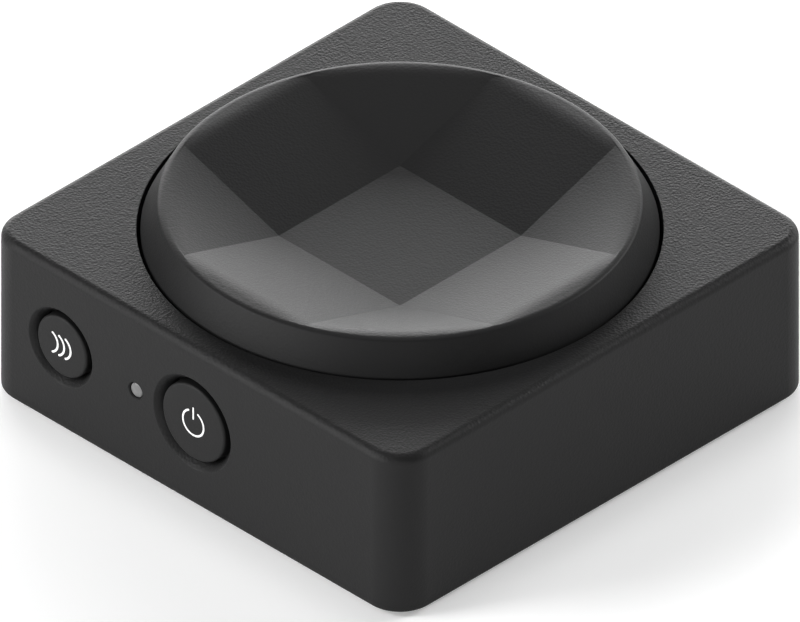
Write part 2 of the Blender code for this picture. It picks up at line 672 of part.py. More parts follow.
def dish_topper(parts, helpers, surface):
    """A loft between a square floor and a round rim, with a turned rim and skirt round it."""
    angles = facet_angles()
    crest = TOP_Z + DISH_HEIGHT
    under_rim = crest - RIM_DROP - DISH_WALL
    skirt = TOP_Z - SKIRT_DROP
    under_radius = FACET_RADIUS - DISH_WALL / 4
    under_half = FLOOR_HALF - DISH_WALL / 4
    lip = [
        (LIP_RADIUS - LIP_ROUND * (1 - math.sin(a)), crest - LIP_DROP * (1 - math.cos(a)))
        for a in (math.radians(30 * i) for i in range(4))
    ]
    wall = [
        (FACET_RADIUS, crest - RIM_DROP),
        *lip,
        (DISH_RADIUS, TOP_Z),
        (DISH_RADIUS, skirt),
        (DISH_RADIUS - DISH_WALL, skirt),
        (LIP_RADIUS - DISH_WALL / 2, under_rim),
        (under_radius, under_rim),
    ]
    bm = bmesh.new()
    floor_ring, floor = square_of(bm, angles, FACET_RADIUS, FLOOR_HALF, TOP_Z - FLOOR_DROP)
    rings = [floor_ring] + [ring_of(bm, angles, radius, height) for radius, height in wall]
    under_ring, under = square_of(bm, angles, under_radius, under_half, DISH_UNDER_Z)
    rings.append(under_ring)
    for first, second in zip(rings, rings[1:]):
        bridge(bm, first, second)
    bm.faces.new(floor)
    bm.faces.new(under)
    bmesh.ops.recalc_face_normals(bm, faces=bm.faces)
    dish = add_mesh("dish_topper", bm, parts)
    hole_top = ROCKER_TOP_Z + PEG_HEIGHT + GAP
    for number, (x, y) in enumerate(CORNERS, 1):
        place = (x * PEG_OFFSET, y * PEG_OFFSET)
        radius = PEG_RADIUS + FIT
        socket = cylinder(
            f"socket_{number}", radius + SOCKET_WALL, DISH_UNDER_Z, hole_top, helpers, place, SMALL_STEPS,
        )
        hole = cylinder(
            f"socket_hole_{number}", radius, DISH_UNDER_Z - OVERSHOOT, hole_top, helpers, place,
            SMALL_STEPS,
        )
        combine(dish, [socket], "UNION", helpers)
        combine(dish, [hole], "DIFFERENCE", helpers)
    return finish(dish, surface)


def buttons(parts, surface):
    for name, button in BUTTONS.items():
        radius = button["radius"]
        face = -BUTTON_RECESS
        centre = (radius - BUTTON_EDGE_RADIUS, face - BUTTON_EDGE_RADIUS)
        edge = arc(centre, BUTTON_EDGE_RADIUS, 90, 0, 3)
        back = -FLANGE_DEPTH - FLANGE_THICKNESS
        profile = [(0, face), *edge, (radius, -FLANGE_DEPTH), (button["flange"], -FLANGE_DEPTH)]
        profile += [(button["flange"], back), (STEM_RADIUS, back)]
        profile += [(STEM_RADIUS, -STEM_DEPTH), (0, -STEM_DEPTH)]
        cap = turned(name + "_button", profile, parts, ROUND_STEPS // 2)
        finish(facing_front(cap, button["x"], BUTTON_Z), surface)


def side_switches(parts, helpers, shell_surface, plunger_surface):
    """The two switches on the main board that the buttons press, each with its own plunger."""
    for name, button in BUTTONS.items():
        front = -HALF + SWITCH_FRONT_DEPTH
        tall = 2 * (BUTTON_Z - PART_UNDER_Z)
        middle = (button["x"], front + SWITCH_DEPTH / 2, BUTTON_Z)
        body = box(name + "_switch", (SWITCH_WIDTH, SWITCH_DEPTH, tall), middle, parts)
        room = SWITCH_PLUNGER_LENGTH - SWITCH_PLUNGER_SHOWS + BUTTON_TRAVEL + PASS
        bore = cylinder(
            name + "_switch_bore", SWITCH_RADIUS + FIT, -SWITCH_FRONT_DEPTH - room,
            -SWITCH_FRONT_DEPTH + OVERSHOOT, helpers, steps=SMALL_STEPS,
        )
        combine(body, [facing_front(bore, button["x"], BUTTON_Z)], "DIFFERENCE", helpers)
        finish(body, shell_surface)
        tip = -STEM_DEPTH - GAP
        plunger = cylinder(
            name + "_switch_plunger", SWITCH_RADIUS, tip - SWITCH_PLUNGER_LENGTH, tip, parts,
            steps=SMALL_STEPS,
        )
        finish(facing_front(plunger, button["x"], BUTTON_Z), plunger_surface)


def light(parts, clear, led):
    """The clear pipe to the small window, and the side-facing lamp behind it."""
    back = -FLANGE_DEPTH - LIGHT_FLANGE_THICKNESS
    profile = [(0, 0), (LIGHT_RADIUS, 0), (LIGHT_RADIUS, -FLANGE_DEPTH)]
    profile += [(LIGHT_FLANGE_RADIUS, -FLANGE_DEPTH), (LIGHT_FLANGE_RADIUS, back)]
    profile += [(LIGHT_RADIUS, back), (LIGHT_RADIUS, -LIGHT_LENGTH)]
    profile += [(0, -LIGHT_LENGTH)]
    pipe = turned("light_pipe", profile, parts, SMALL_STEPS)
    finish(facing_front(pipe, LIGHT_X, BUTTON_Z), clear)
    tall = BUTTON_Z + LIGHT_RADIUS - PART_UNDER_Z
    lamp_y = -HALF + LIGHT_LENGTH + GAP + LED_SIZE[1] / 2
    on_main_board("status_led", (*LED_SIZE, tall), LIGHT_X, lamp_y, parts, led)


def main_board(parts, surface):
    half = HALF - BOARD_INSET
    notch = BOSS_RADIUS + PASS
    outline = []
    for turn in range(4):
        spin = Matrix.Rotation(math.radians(90 * turn), 2)
        centre = (BOSS_OFFSET, BOSS_OFFSET)
        reach = math.degrees(math.acos((half - BOSS_OFFSET) / notch))
        corner = arc(centre, notch, -reach, reach - 270, 12)
        outline += [tuple(spin @ Vector((x, y))) for x, y in corner]
    holes = [
        circle(POST_RADIUS + PASS, (x * POST_OFFSET, y * POST_OFFSET), SMALL_STEPS)
        for x, y in CORNERS
    ]
    board = extruded("main_board", [outline, *holes], BOARD_UNDER_Z, BOARD_TOP_Z, parts)
    return finish(board, surface, smooth=False)


def on_main_board(name, size, x, y, parts, surface):
    middle = (x, y, PART_UNDER_Z + size[2] / 2)
    return finish(box(name, size, middle, parts), surface, smooth=False)


def electronics(parts, helpers, colours):
    main_board(parts, colours["board"])
    on_main_board("radio_module", RADIO_SIZE, *RADIO_PLACE, parts, colours["tin"])
    on_main_board("controller_chip", CHIP_SIZE, *CHIP_PLACE, parts, colours["chip"])
    tall = SWITCH_BOARD_UNDER_Z - GAP - PART_UNDER_Z
    header_size = (*HEADER_SIZE, tall)
    on_main_board("board_header", header_size, 0.0, -DOME_CIRCLE, parts, colours["chip"])
    battery_z = COVER_TOP_Z + GAP + BATTERY_SIZE[2] / 2
    battery = box("battery_cell", BATTERY_SIZE, (0, 0, battery_z), parts)
    bevel(battery, BATTERY_EDGE_RADIUS, 3, "ANGLE")
    finish(battery, colours["battery"])
    connector_x = BATTERY_SIZE[0] / 2 + LEAD_SPAN + CONNECTOR_SIZE[0] / 2
    connector_z = BOARD_UNDER_Z - GAP - CONNECTOR_SIZE[2] / 2
    connector = box("battery_connector", CONNECTOR_SIZE, (connector_x, 0, connector_z), parts)
    finish(connector, colours["nylon"], smooth=False)
    battery_lead(parts, connector_x - CONNECTOR_SIZE[0] / 2, battery_z, connector_z, colours["lead"])
    outer = circle(SWITCH_BOARD_RADIUS, steps=ROUND_STEPS)
    inner = circle(BOARD_HOLE_RADIUS, steps=BORE_STEPS)
    board = extruded(
        "switch_board", [outer, inner], SWITCH_BOARD_UNDER_Z, SWITCH_BOARD_TOP_Z, parts,
    )
    finish(board, colours["board"])
    dome_mat(parts, helpers, outer, inner, colours["silicone"])


def battery_lead(parts, end_x, start_z, end_z, surface):
    start_x = BATTERY_SIZE[0] / 2 + GAP
    middle = (start_x + end_x - GAP) / 2
    curve = bpy.data.curves.new("battery_lead", "CURVE")
    curve.dimensions = "3D"
    curve.bevel_depth = LEAD_RADIUS
    curve.bevel_resolution = 2
    curve.use_fill_caps = True
    spline = curve.splines.new("POLY")
    steps = 8
    spline.points.add(steps)
    for i, point in enumerate(spline.points):
        share = i / steps
        ease = (1 - math.cos(math.pi * share)) / 2
        x = start_x + (end_x - GAP - start_x) * share
        point.co = (x - middle, 0, (end_z - start_z) * (ease - 0.5), 1)
    lead = bpy.data.objects.new("battery_lead", curve)
    lead.location = (middle, 0, (start_z + end_z) / 2)
    parts.objects.link(lead)
    curve.materials.append(surface)


def dome_mat(parts, helpers, outer, inner, surface):
    """A silicone sheet with a hollow dome over each of the four contacts."""
    top = MAT_UNDER_Z + MAT_THICKNESS
    mat = extruded("dome_mat", [outer, inner], MAT_UNDER_Z, top, parts)
    for number in range(4):
        turn = math.radians(90 * number)
        place = (DOME_CIRCLE * math.cos(turn), DOME_CIRCLE * math.sin(turn), 0)
        profile = [(0, DOME_TOP_Z), (DOME_CROWN, DOME_TOP_Z), (DOME_RADIUS, top - DOME_SINK)]
        profile += [(0, top - DOME_SINK)]
        dome = turned(f"dome_{number + 1}", profile, helpers, SMALL_STEPS)
        hollow_profile = [(0, DOME_TOP_Z - MAT_THICKNESS)]
        hollow_profile += [(DOME_CROWN - MAT_THICKNESS, DOME_TOP_Z - MAT_THICKNESS)]
        hollow_profile += [(DOME_RADIUS - MAT_THICKNESS, MAT_UNDER_Z - OVERSHOOT)]
        hollow_profile += [(0, MAT_UNDER_Z - OVERSHOOT)]
        hollow = turned(f"dome_hollow_{number + 1}", hollow_profile, helpers, SMALL_STEPS)
        dome.location = place
        hollow.location = place
        combine(mat, [dome], "UNION", helpers)
        combine(mat, [hollow], "DIFFERENCE", helpers)
    return finish(mat, surface)


def charging_port(parts, steel, nylon):
    """The metal shell of a USB-C socket and the contact tongue inside it."""
    inner = (PORT_WIDTH - 2 * PORT_SHELL, PORT_HEIGHT - 2 * PORT_SHELL)
    outlines = [stadium(PORT_WIDTH, PORT_HEIGHT), stadium(*inner)]
    shell = extruded("port_shell", outlines, -PORT_RECESS - PORT_DEPTH, -PORT_RECESS, parts)
    finish(facing_back(shell), steel)
    width, length, tall = TONGUE_SIZE
    back = HALF - PORT_RECESS - PORT_DEPTH + length / 2
    tongue = box("port_tongue", (width, length, tall), (0, back, PORT_Z), parts)
    finish(tongue, nylon, smooth=False)


def pivots(parts):
    """Empties on the two tilt axes, which the moving pieces hang from."""
    names = {
        "gimbal_axis": ("gimbal_ring", "rocker_pin_front", "rocker_pin_back"),
        "rocker_axis": ("rocker_plate", "dish_topper"),
    }
    for name, children in names.items():
        empty = bpy.data.objects.new(name, None)
        empty.location = (0, 0, PIVOT_Z)
        parts.objects.link(empty)
        bpy.context.view_layer.update()
        for child in children:
            obj = bpy.data.objects[child]
            obj.parent = empty
            obj.matrix_parent_inverse = empty.matrix_world.inverted()
    bpy.data.objects["rocker_axis"].parent = bpy.data.objects["gimbal_axis"]
    bpy.data.objects["rocker_axis"].location = (0, 0, 0)


def build():
    clear_scene()
    parts = collection("eight_way_dish_button")
    helpers = collection("cutters")
    black = material("black_plastic", (0.022, 0.022, 0.023), 0.55)
    black_inner = material("black_inner_plastic", (0.03, 0.03, 0.031), 0.6)
    steel = material("zinc_steel", (0.55, 0.55, 0.56), 0.35, 1.0)
    pin_steel = material("steel_pins", (0.6, 0.6, 0.6), 0.25, 1.0)
    rubber = material("black_rubber", (0.02, 0.02, 0.02), 0.9)
    nylon = material("nylon", (0.75, 0.73, 0.66), 0.5)
    colours = {
        "board": material("circuit_board", (0.02, 0.12, 0.05), 0.45),
        "tin": material("tinned_shield", (0.7, 0.7, 0.7), 0.35, 1.0),
        "chip": material("chip_black", (0.03, 0.03, 0.03), 0.4),
        "battery": material("battery_wrap", (0.32, 0.34, 0.36), 0.4),
        "nylon": nylon,
        "lead": material("lead_sleeve", (0.4, 0.03, 0.02), 0.5),
        "silicone": material("silicone", (0.6, 0.6, 0.58), 0.5),
    }
    upper_housing(parts, helpers, black)
    bottom_cover(parts, helpers, black)
    foot_pad(parts, rubber)
    screws(parts, helpers, steel)
    pivot_frame(parts, helpers, black_inner)
    gimbal(parts, helpers, black_inner, pin_steel)
    rocker_plate(parts, helpers, black_inner)
    dish_topper(parts, helpers, black)
    buttons(parts, black)
    side_switches(parts, helpers, colours["chip"], nylon)
    light(parts, material("clear_acrylic", (0.75, 0.75, 0.75), 0.3), nylon)
    electronics(parts, helpers, colours)
    charging_port(parts, steel, colours["chip"])
    pivots(parts)


build()
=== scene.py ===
"""The looks of a wireless eight-way dish button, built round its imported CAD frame."""

import json
import math

import bmesh
import bpy
from mathutils import Matrix, Vector


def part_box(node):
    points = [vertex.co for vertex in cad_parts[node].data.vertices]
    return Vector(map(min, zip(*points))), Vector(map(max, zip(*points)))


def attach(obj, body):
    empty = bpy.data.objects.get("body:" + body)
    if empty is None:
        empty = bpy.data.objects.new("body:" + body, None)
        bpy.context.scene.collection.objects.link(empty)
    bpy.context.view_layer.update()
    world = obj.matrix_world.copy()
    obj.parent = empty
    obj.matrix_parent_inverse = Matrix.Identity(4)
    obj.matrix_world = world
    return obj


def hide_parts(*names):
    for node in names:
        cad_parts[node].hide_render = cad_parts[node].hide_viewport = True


MM = 0.001
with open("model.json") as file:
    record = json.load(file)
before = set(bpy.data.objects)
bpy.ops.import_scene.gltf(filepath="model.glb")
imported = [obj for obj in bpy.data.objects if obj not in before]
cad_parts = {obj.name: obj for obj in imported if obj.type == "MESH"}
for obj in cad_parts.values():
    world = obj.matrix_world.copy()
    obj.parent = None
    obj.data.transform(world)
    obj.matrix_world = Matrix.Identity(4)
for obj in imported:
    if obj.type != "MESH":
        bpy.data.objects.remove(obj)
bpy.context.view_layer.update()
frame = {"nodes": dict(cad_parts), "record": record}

# What the frame says
housing_low, housing_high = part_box("upper_housing")
dish_low, dish_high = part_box("dish_topper")
pad_low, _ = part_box("foot_pad")
port_low, port_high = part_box("port_shell")
light_low, light_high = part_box("light_pipe")
HALF = housing_high[0]
BASE_Z = housing_low[2]
TOP_Z = housing_high[2]
CREST_Z = dish_high[2]
DISH_RADIUS = dish_high[0]

# Housing
WALL = 1.8 * MM
TOP_WALL = 1.6 * MM
CORNER_RADIUS = 4.1 * MM
TOP_EDGE_RADIUS = 1.0 * MM
BOTTOM_EDGE_RADIUS = 0.4 * MM
OVERSHOOT = 1.0 * MM
DISH_SLIT = 0.38 * MM
OPENING_EDGE = 0.12 * MM

# Dish
DISH_LEAN = 1.7 * MM
LIP_ROUND = 0.75 * MM
LIP_DROP = 0.35 * MM
FLOOR_HALF = 8.74 * MM
FLOOR_DROP = 0.96 * MM
FACET_SLOPE = 0.325
CORNER_SAG = 0.009 / MM
CREST_BLEND = 0.32 * MM
DISH_WALL = 1.6 * MM
SKIRT_DROP = 2.4 * MM
LIP_RADIUS = DISH_RADIUS - DISH_LEAN
FACET_RADIUS = LIP_RADIUS - LIP_ROUND
SHARP_ANGLE = 30  # degrees
ARM_STEPS = 40
CORNER_FACET_STEPS = 40
RADIAL_STEPS = 36

WALL_GRAIN = 0.3  # how deep the grain is on upright walls, beside level faces

# Front face
BUTTON_RECESS = 0.15 * MM
BUTTON_EDGE = 0.3 * MM
BUTTON_CLEARANCE = 0.22 * MM
MOAT_DEPTH = 1.15 * MM
MOAT_EDGE = 0.15 * MM
MOAT_STEPS = 12
BUTTONS = {
    "power_button": {"radius": 4.5 * MM, "moat": 5.5 * MM},
    "pairing_button": {"radius": 3.57 * MM, "moat": 4.5 * MM},
}
LIGHT_RADIUS = 0.81 * MM
LIGHT_RECESS = 0.08 * MM
LIGHT_CROWN = 0.12 * MM
LIGHT_COLLAR_RADIUS = 1.4 * MM
LIGHT_COLLAR_FRONT = 2.1 * MM
LIGHT_COLLAR_BACK = 2.7 * MM
LIGHT_BORE_CLEARANCE = 0.1 * MM
PORT_CLEARANCE = 0.8 * MM  # both sides together
FLANGE_GAP = 0.3 * MM  # from the wall's inside
FLANGE_THICKNESS = 0.8 * MM
STEM_RADIUS = 1.4 * MM
PAD_EDGE_RADIUS = 0.3 * MM
INK_PROUD = 0.012 * MM
INK_DEPTH = 0.05 * MM

# Camera: an isometric view
SCALE_WIDTH = 81.67 * MM  # what the picture's width spans
AIM_BELOW_TOP = 10.38 * MM
ELEVATION = math.degrees(math.atan(1 / math.sqrt(2)))
AZIMUTH = 45.0
CAMERA_DISTANCE = 0.6
CLIP_START = 0.01
CLIP_END = 5.0

# Studio: each softbox has an azimuth and an elevation in degrees, a width in metres and watts
LIGHT_DISTANCE = 1.0
LIGHT_HEIGHT = 0.36
SOFTBOXES = {
    "back": (135, 10, 0.36, 3.8),
    "back_high": (135, 29, 0.36, 1.5),
    "back_left": (155, 10, 0.36, 3.8),
    "back_right": (115, 10, 0.36, 2.6),
    "left": (240, 10, 0.38, 3.8),
    "left_high": (232, 34, 0.38, 5.2),
    "front_left": (270, 10, 0.38, 2.7),
    "front": (318, 10, 0.38, 1.4),
    "right": (66, 26, 0.38, 6.2),
    "overhead": (135, 82, 0.38, 2.0),
}
WORLD_STRENGTH = 0.4
FLOOR_GLOW = 0.22
FLOOR_REACH = 3.0  # metres each way
FLOOR_WHITE = 0.95
OVERHEAD = 0.1
HORIZON_BLEND = 0.02


# Materials


def new_material(name):
    made = bpy.data.materials.new(name)
    made.use_nodes = True
    return made, made.node_tree.nodes, made.node_tree.links


def texture(nodes, links, kind, scale, coordinate, **settings):
    """A noise or Voronoi texture in the object's own metres. scale is features per metre."""
    made = nodes.new(kind)
    made.inputs["Scale"].default_value = scale
    for name, value in settings.items():
        made.inputs[name].default_value = value
    links.new(coordinate, made.inputs["Vector"])
    return made


def ramp(nodes, links, source, stops):
    made = nodes.new("ShaderNodeValToRGB")
    elements = made.color_ramp.elements
    for i, (place, colour) in enumerate(stops):
        element = elements[i] if i < 2 else elements.new(place)
        element.position = place
        element.color = (*colour, 1.0)
    links.new(source, made.inputs["Fac"])
    return made


def bump(nodes, links, height, strength, distance, below=None):
    made = nodes.new("ShaderNodeBump")
    made.inputs["Strength"].default_value = strength
    made.inputs["Distance"].default_value = distance
    links.new(height, made.inputs["Height"])
    if below:
        links.new(below, made.inputs["Normal"])
    return made.outputs["Normal"]


def moulded(name, colour, roughness, grain=0.35, grain_size=0.3 * MM, mottle=0.12, specular=0.2):
    """Textured injection-moulded plastic: leathery grain, finer tooth, and slight colour drift."""
    made, nodes, links = new_material(name)
    shader = nodes["Principled BSDF"]
    shader.inputs["Specular IOR Level"].default_value = specular
    where = nodes.new("ShaderNodeTexCoord").outputs["Object"]
    cells = texture(
        nodes, links, "ShaderNodeTexVoronoi", 1 / grain_size, where, Randomness=1.0,
    )
    tooth = texture(
        nodes, links, "ShaderNodeTexNoise", 3 / grain_size, where, Detail=3.0, Roughness=0.6,
    )
    low = tuple(value * (1 - mottle) for value in colour)
    high = tuple(value * (1 + mottle) for value in colour)
    tint = ramp(nodes, links, tooth.outputs["Fac"], [(0.3, low), (0.7, high)])
    links.new(tint.outputs["Color"], shader.inputs["Base Color"])
    dull = tuple([roughness + 0.05] * 3)
    sleek = tuple([roughness - 0.05] * 3)
    gloss = ramp(nodes, links, tooth.outputs["Fac"], [(0.35, sleek), (0.65, dull)])
    links.new(gloss.outputs["Color"], shader.inputs["Roughness"])
    level = nodes.new("ShaderNodeSeparateXYZ")
    links.new(nodes.new("ShaderNodeTexCoord").outputs["Normal"], level.inputs["Vector"])
    depth = nodes.new("ShaderNodeMapRange")
    depth.inputs["To Min"].default_value = WALL_GRAIN
    links.new(level.outputs["Z"], depth.inputs["Value"])
    heights = []
    for source in (tooth.outputs["Fac"], cells.outputs["Distance"]):
        scaled = nodes.new("ShaderNodeMath")
        scaled.operation = "MULTIPLY"
        links.new(source, scaled.inputs[0])
        links.new(depth.outputs["Result"], scaled.inputs[1])
        heights.append(scaled.outputs["Value"])
    fine = bump(nodes, links, heights[0], grain * 0.6, 0.02 * MM)
    pebbles = bump(nodes, links, heights[1], grain, 0.05 * MM, fine)
    links.new(pebbles, shader.inputs["Normal"])
    return made


def metal(name, colour, roughness):
    """Plated or drawn metal, with faint cloudiness."""
    made, nodes, links = new_material(name)
    shader = nodes["Principled BSDF"]
    shader.inputs["Metallic"].default_value = 1.0
    where = nodes.new("ShaderNodeTexCoord").outputs["Object"]
    cloud = texture(nodes, links, "ShaderNodeTexNoise", 1 / (1.5 * MM), where, Detail=4.0)
    low = tuple(value * 0.88 for value in colour)
    tint = ramp(nodes, links, cloud.outputs["Fac"], [(0.35, low), (0.65, colour)])
    links.new(tint.outputs["Color"], shader.inputs["Base Color"])
    shine = ramp(
        nodes, links, cloud.outputs["Fac"],
        [(0.3, (roughness - 0.06,) * 3), (0.7, (roughness + 0.08,) * 3)],
    )
    links.new(shine.outputs["Color"], shader.inputs["Roughness"])
    return made


def speckled(name, colour, accent, roughness, size):
    """A quiet two-tone surface for the pieces inside."""
    made, nodes, links = new_material(name)
    shader = nodes["Principled BSDF"]
    shader.inputs["Roughness"].default_value = roughness
    where = nodes.new("ShaderNodeTexCoord").outputs["Object"]
    noise = texture(nodes, links, "ShaderNodeTexNoise", 1 / size, where, Detail=4.0)
    tint = ramp(nodes, links, noise.outputs["Fac"], [(0.4, colour), (0.62, accent)])
    links.new(tint.outputs["Color"], shader.inputs["Base Color"])
    links.new(bump(nodes, links, noise.outputs["Fac"], 0.2, 0.03 * MM), shader.inputs["Normal"])
    return made


def rubber(name, colour):
    """Soft non-slip rubber: dull, with a fine dimpled tread."""
    made, nodes, links = new_material(name)
    shader = nodes["Principled BSDF"]
    shader.inputs["Roughness"].default_value = 0.85
    where = nodes.new("ShaderNodeTexCoord").outputs["Object"]
    dimples = texture(nodes, links, "ShaderNodeTexVoronoi", 1 / (0.9 * MM), where, Randomness=0.15)
    dust = texture(nodes, links, "ShaderNodeTexNoise", 1 / (0.25 * MM), where, Detail=3.0)
    low = tuple(value * 0.8 for value in colour)
    tint = ramp(nodes, links, dust.outputs["Fac"], [(0.35, low), (0.7, colour)])
    links.new(tint.outputs["Color"], shader.inputs["Base Color"])
    links.new(bump(nodes, links, dimples.outputs["Distance"], 0.6, 0.1 * MM), shader.inputs["Normal"])
    return made


def ink(name):
    """White pad-printed ink, very slightly uneven."""
    made, nodes, links = new_material(name)
    shader = nodes["Principled BSDF"]
    shader.inputs["Roughness"].default_value = 0.5
    where = nodes.new("ShaderNodeTexCoord").outputs["Object"]
    noise = texture(nodes, links, "ShaderNodeTexNoise", 1 / (0.2 * MM), where, Detail=2.0)
    tint = ramp(
        nodes, links, noise.outputs["Fac"], [(0.3, (0.74, 0.74, 0.75)), (0.6, (0.86, 0.86, 0.86))],
    )
    links.new(tint.outputs["Color"], shader.inputs["Base Color"])
    return made


# Shapes


def add_mesh(name, bm):
    mesh = bpy.data.meshes.new(name)
    bm.to_mesh(mesh)
    bm.free()
    obj = bpy.data.objects.new(name, mesh)
    bpy.context.scene.collection.objects.link(obj)
    return obj


def arc(centre, radius, start, end, steps):
    """Points from one angle to another, in degrees, both ends included."""
    angles = [math.radians(start + (end - start) * i / steps) for i in range(steps + 1)]
    return [(centre[0] + radius * math.cos(a), centre[1] + radius * math.sin(a)) for a in angles]


def rounded_rectangle(half, radius, steps=24):
    points = []
    for start, (x, y) in zip((0, 90, 180, 270), ((1, 1), (-1, 1), (-1, -1), (1, -1))):
        centre = (x * (half - radius), y * (half - radius))
        points += arc(centre, radius, start, start + 90, steps)
    return points


def stadium(width, height, steps=16):
    radius = height / 2
    middle = width / 2 - radius
    right = arc((middle, 0), radius, -90, 90, steps)
    return right + [(-x, -y) for x, y in right]


def prism(name, outline, bottom, top):
    """An upright solid on an outline."""
    bm = bmesh.new()
    low = [bm.verts.new((x, y, bottom)) for x, y in outline]
    base = bm.faces.new(low)
    base.normal_update()
    grown = bmesh.ops.extrude_face_region(bm, geom=[base])["geom"]
    moved = [item for item in grown if isinstance(item, bmesh.types.BMVert)]
    bmesh.ops.translate(bm, verts=moved, vec=(0, 0, top - bottom))
    bmesh.ops.recalc_face_normals(bm, faces=bm.faces)
    return add_mesh(name, bm)


def turned(name, profile, steps=96):
    """A solid turned round Z from (radius, height) points, down its outer side."""
    bm = bmesh.new()
    points = [bm.verts.new((radius, 0.0, height)) for radius, height in profile]
    edges = [bm.edges.new(pair) for pair in zip(points, points[1:])]
    bmesh.ops.spin(
        bm, geom=points + edges, cent=(0, 0, 0), axis=(0, 0, 1), angle=2 * math.pi, steps=steps,
    )
    bmesh.ops.remove_doubles(bm, verts=bm.verts, dist=0.0005 * MM)
    bmesh.ops.recalc_face_normals(bm, faces=bm.faces)
    return add_mesh(name, bm)


def facing_front(obj, x, z):
    """Turns a piece made along Z so that its +Z faces out of the front, its zero on that face."""
    obj.matrix_world = Matrix.Translation((x, -HALF, z)) @ Matrix.Rotation(math.pi / 2, 4, "X")
    return obj


def facing_back(obj, z):
    turn = Matrix.Rotation(math.pi, 4, "Z") @ Matrix.Rotation(math.pi / 2, 4, "X")
    obj.matrix_world = Matrix.Translation((0, HALF, z)) @ turn
    return obj


def weighted_bevel(obj, width, segments, heights):
    """Rounds the level edges at each height, by its share of the width."""
    bm = bmesh.new()
    bm.from_mesh(obj.data)
    layer = bm.edges.layers.float.new("bevel_weight_edge")
    for edge in bm.edges:
        for height, weight in heights.items():
            if all(abs(vert.co.z - height) < 0.001 * MM for vert in edge.verts):
                edge[layer] = weight
    bm.to_mesh(obj.data)
    bm.free()
    modifier = obj.modifiers.new("Bevel", "BEVEL")
    modifier.width = width
    modifier.segments = segments
    modifier.limit_method = "WEIGHT"


def apply_modifiers(obj):
    graph = bpy.context.evaluated_depsgraph_get()
    graph.update()
    mesh = bpy.data.meshes.new_from_object(obj.evaluated_get(graph))
    obj.modifiers.clear()
    old = obj.data
    obj.data = mesh
    bpy.data.meshes.remove(old)


def cut(obj, cutters):
    for cutter in cutters:
        modifier = obj.modifiers.new(cutter.name, "BOOLEAN")
        modifier.operation = "DIFFERENCE"
        modifier.solver = "EXACT"
        modifier.object = cutter
    bpy.context.view_layer.update()
    apply_modifiers(obj)
    for cutter in cutters:
        bpy.data.objects.remove(cutter)


def smooth(obj, angle=30):
    """Smooth shading, with the flat faces kept flat beside their rounded edges."""
    obj.data.shade_smooth()
    obj.data.set_sharp_from_angle(angle=math.radians(angle))
    modifier = obj.modifiers.new("Flat faces first", "WEIGHTED_NORMAL")
    modifier.weight = 100
    modifier.keep_sharp = True
    return obj


def dress(obj, surface, body, nodes=()):
    obj.data.materials.clear()
    obj.data.materials.append(surface)
    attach(obj, body)
    if nodes:
        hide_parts(*nodes)
    return obj


# Pieces


def housing(surface):
    outline = rounded_rectangle(HALF, CORNER_RADIUS)
    shell = prism("housing_shell", outline, BASE_Z, TOP_Z)
    weighted_bevel(
        shell, TOP_EDGE_RADIUS, 10, {TOP_Z: 1.0, BASE_Z: BOTTOM_EDGE_RADIUS / TOP_EDGE_RADIUS},
    )
    inside = HALF - WALL
    ceiling = TOP_Z - TOP_WALL
    cavity_outline = rounded_rectangle(inside, CORNER_RADIUS - WALL, 12)
    cutters = [prism("cavity", cavity_outline, BASE_Z - OVERSHOOT, ceiling)]
    opening = DISH_RADIUS + DISH_SLIT
    flare = [
        (opening + OPENING_EDGE * (1 - math.cos(a)), TOP_Z - OPENING_EDGE * (1 - math.sin(a)))
        for a in (math.radians(90 - 30 * i) for i in range(4))
    ]
    profile = [(0, TOP_Z + OVERSHOOT), (flare[0][0], TOP_Z + OVERSHOOT), *flare]
    profile += [(opening, ceiling - OVERSHOOT), (0, ceiling - OVERSHOOT)]
    cutters.append(turned("opening", profile, 192))
    for name, size in BUTTONS.items():
        cutters.append(button_bore(name, size))
    bore_profile = [(0, OVERSHOOT), (LIGHT_RADIUS + 0.25 * MM, OVERSHOOT)]
    light_bore = LIGHT_RADIUS + LIGHT_BORE_CLEARANCE
    bore_profile += [(LIGHT_RADIUS + 0.22 * MM, 0), (light_bore, -0.14 * MM)]
    bore_profile += [(light_bore, -WALL - OVERSHOOT), (0, -WALL - OVERSHOOT)]
    cutters.append(facing_front(turned("light_bore", bore_profile, 48), *centre_of("light_pipe")))
    port_width = port_high[0] - port_low[0] + PORT_CLEARANCE
    port_height = port_high[2] - port_low[2] + PORT_CLEARANCE
    slot = stadium(port_width, port_height)
    port_z = (port_low[2] + port_high[2]) / 2
    cutters.append(facing_back(prism("port_slot", slot, -WALL - OVERSHOOT, OVERSHOOT), port_z))
    cut(shell, cutters)
    smooth(shell)
    return dress(shell, surface, "housing", ["upper_housing"])


def centre_of(node):
    low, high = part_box(node)
    return (low[0] + high[0]) / 2, (low[2] + high[2]) / 2


def button_bore(name, size):
    """A button's hole, with the rounded moat round its face."""
    bore = size["radius"] + BUTTON_CLEARANCE
    outer = [
        (size["moat"] + MOAT_EDGE * (1 - math.sin(a)), -MOAT_EDGE * (1 - math.cos(a)))
        for a in (math.radians(15 * i) for i in range(4))
    ]
    moat = []
    for step in range(1, MOAT_STEPS + 1):
        share = step / MOAT_STEPS
        radius = outer[-1][0] + (bore - outer[-1][0]) * share
        moat.append((radius, outer[-1][1] - MOAT_DEPTH * (0.55 * share + 0.45 * share**2)))
    profile = [(0, OVERSHOOT), (outer[0][0], OVERSHOOT), *outer, *moat]
    profile += [(bore, -WALL - OVERSHOOT), (0, -WALL - OVERSHOOT)]
    return facing_front(turned(name + "_bore", profile), *centre_of(name))


